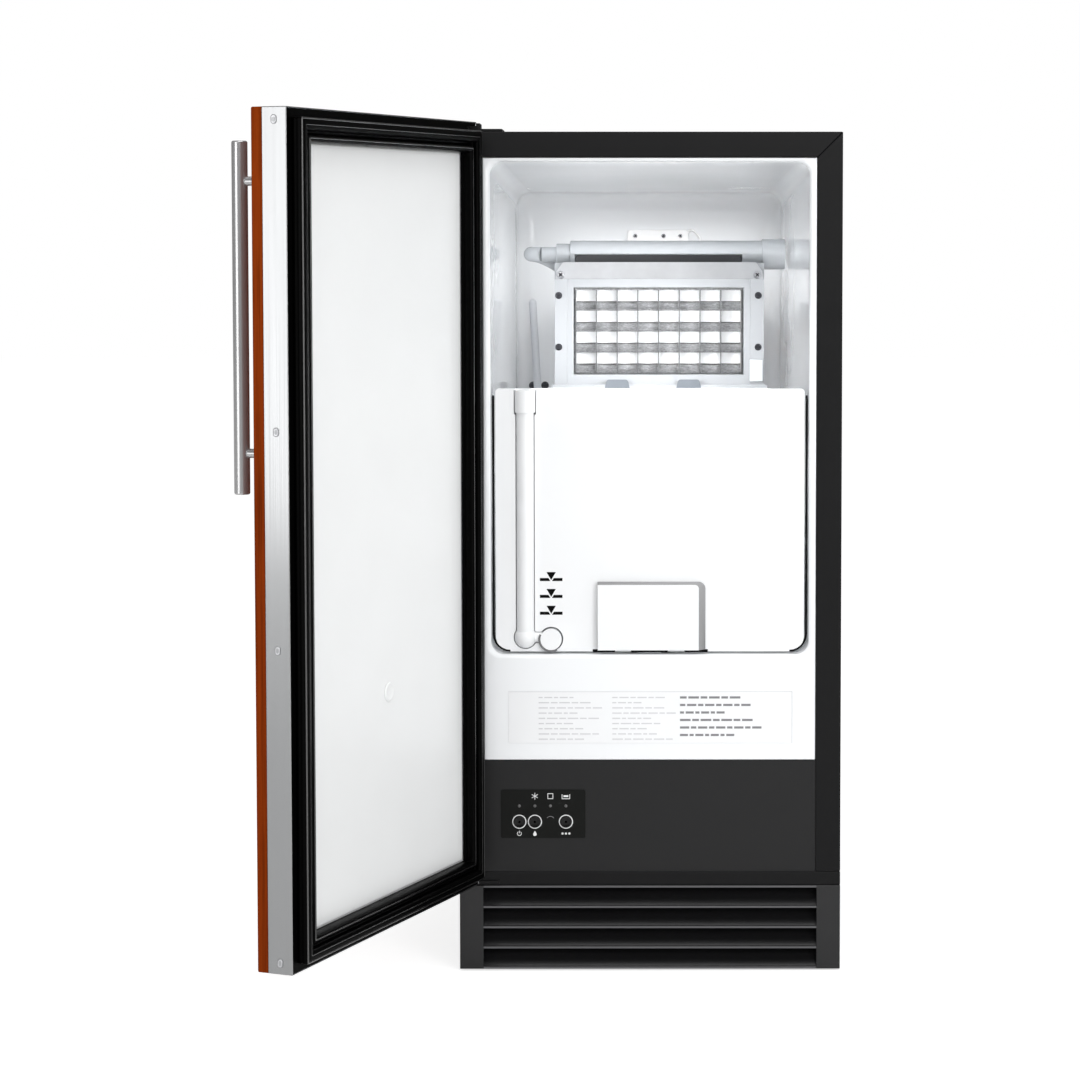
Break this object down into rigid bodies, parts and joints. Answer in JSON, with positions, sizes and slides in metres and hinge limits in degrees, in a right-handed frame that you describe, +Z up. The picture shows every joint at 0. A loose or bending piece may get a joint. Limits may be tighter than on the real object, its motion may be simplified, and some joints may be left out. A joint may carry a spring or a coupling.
{
  "type": "undercounter ice maker",
  "caption": "Undercounter ice maker with a framed wood door on side hinges, lined ice bin, cell evaporator, drain tube, push-button controls and louvred kick grille.",
  "frame": {"origin": "on the floor, under the centre of the cabinet's footprint", "axes": "+X to the right seen from the front, +Y to the back, +Z up"},
  "size_m": [0.5545, 0.942, 0.8404],
  "materials": {
    "black_steel": "satin",
    "black_trim": "satin",
    "black_plastic": "satin",
    "zinc_steel": "satin",
    "fascia_steel": "satin",
    "overlay_film": "matt",
    "circuit_board": "matt",
    "button_cap": "gloss",
    "label_film": "satin",
    "liner_plastic": "gloss",
    "foam": "matt",
    "white_panel": "satin",
    "white_plastic": "satin",
    "clear_plastic": "gloss",
    "pump_plastic": "matt",
    "cell_metal": "satin",
    "bar_metal": "satin",
    "screw_steel": "satin",
    "copper": "satin",
    "compressor_paint": "gloss",
    "rubber": "matt",
    "fin_aluminium": "satin",
    "fan_metal": "satin",
    "edge_aluminium": "satin",
    "door_wood": "satin",
    "gasket_rubber": "satin",
    "door_liner_plastic": "satin",
    "handle_steel": "satin",
    "hinge_steel": "satin",
    "nylon": "matt"
  },
  "bodies": {
    "cabinet": {"outer_case": "black_steel", "back_panel": "black_steel", "base_pan": "zinc_steel", "trim_top": "black_trim", "trim_left": "black_trim", "trim_right": "black_trim", "lower_rail": "black_trim", "kick_grille": "black_plastic", "fascia": "fascia_steel", "control_overlay": "overlay_film", "control_board": "circuit_board", "rating_label": "label_film", "liner": "liner_plastic", "insulation": "foam", "bin_front": "white_panel", "pump_cover": "white_panel", "drain_socket": "white_plastic", "bin_floor": "white_plastic", "water_pump": "pump_plastic", "riser_hose": "clear_plastic", "evaporator_grid": "cell_metal", "evaporator_frame": "white_plastic", "evaporator_top_bar": "bar_metal", "evaporator_screws": "screw_steel", "evaporator_coil": "copper", "water_trough": "white_plastic", "distribution_tube": "clear_plastic", "tube_fittings": "clear_plastic", "sensor_bracket": "white_plastic", "ice_level_probe": "white_plastic", "thermistor_clip": "clear_plastic", "compressor": "compressor_paint", "compressor_mounts": "rubber", "condenser": "fin_aluminium", "fan_shroud": "black_plastic", "fan_motor": "zinc_steel", "filter_drier": "copper", "refrigerant_lines": "copper", "water_inlet_valve": "white_plastic", "power_gland": "rubber", "hinge_brackets": "hinge_steel"},
    "door": {"hinge_bushes": "nylon", "door_edge_frame": "edge_aluminium", "door_panel": "door_wood", "door_inner_frame": "black_plastic", "door_gasket": "gasket_rubber", "door_liner": "door_liner_plastic", "door_insulation": "foam", "handle": "handle_steel", "door_edge_screws": "screw_steel"},
    "button_power": {"button_power": "button_cap"},
    "button_clean": {"button_clean": "button_cap"},
    "button_mode": {"button_mode": "button_cap"},
    "drain_tube": {"drain_tube": "white_plastic"},
    "fan": {"fan_blade": "fan_metal"},
    "impeller": {"pump_impeller": "white_plastic"},
    "foot_front_left": {"foot_front_left": "rubber"},
    "foot_front_right": {"foot_front_right": "rubber"},
    "foot_rear_left": {"foot_rear_left": "rubber"},
    "foot_rear_right": {"foot_rear_right": "rubber"}
  },
  "joints": [
    {"name": "door_hinge", "type": "hinge", "parent": "cabinet", "child": "door", "pos_m": [-0.1824, -0.3015, 0.466], "axis": [0, 0, -1], "range_deg": [-112, 3]},
    {"name": "button_power_press", "type": "slide", "parent": "cabinet", "child": "button_power", "axis": [0, 1, 0], "range_m": [0, 0.001], "stiffness_N_per_m": 800, "springref_m": -0.0005},
    {"name": "button_clean_press", "type": "slide", "parent": "cabinet", "child": "button_clean", "axis": [0, 1, 0], "range_m": [0, 0.001], "stiffness_N_per_m": 800, "springref_m": -0.0005},
    {"name": "button_mode_press", "type": "slide", "parent": "cabinet", "child": "button_mode", "axis": [0, 1, 0], "range_m": [0, 0.001], "stiffness_N_per_m": 800, "springref_m": -0.0005},
    {"name": "drain_tube_tilt", "type": "hinge", "parent": "cabinet", "child": "drain_tube", "pos_m": [-0.1235, -0.2637, 0.3326], "axis": [1, 0, 0], "range_deg": [0, 100]},
    {"name": "fan_spin", "type": "hinge", "parent": "cabinet", "child": "fan", "pos_m": [0.01, -0.1595, 0.112], "axis": [0, 1, 0], "continuous": true},
    {"name": "impeller_spin", "type": "hinge", "parent": "cabinet", "child": "impeller", "pos_m": [0, -0.1995, 0.346], "axis": [0, 0, 1], "continuous": true},
    {"name": "foot_front_left_screw", "type": "slide", "parent": "cabinet", "child": "foot_front_left", "axis": [0, 0, -1], "range_m": [0, 0.012]},
    {"name": "foot_front_right_screw", "type": "slide", "parent": "cabinet", "child": "foot_front_right", "axis": [0, 0, -1], "range_m": [0, 0.012]},
    {"name": "foot_rear_left_screw", "type": "slide", "parent": "cabinet", "child": "foot_rear_left", "axis": [0, 0, -1], "range_m": [0, 0.012]},
    {"name": "foot_rear_right_screw", "type": "slide", "parent": "cabinet", "child": "foot_rear_right", "axis": [0, 0, -1], "range_m": [0, 0.012]}
  ]
}
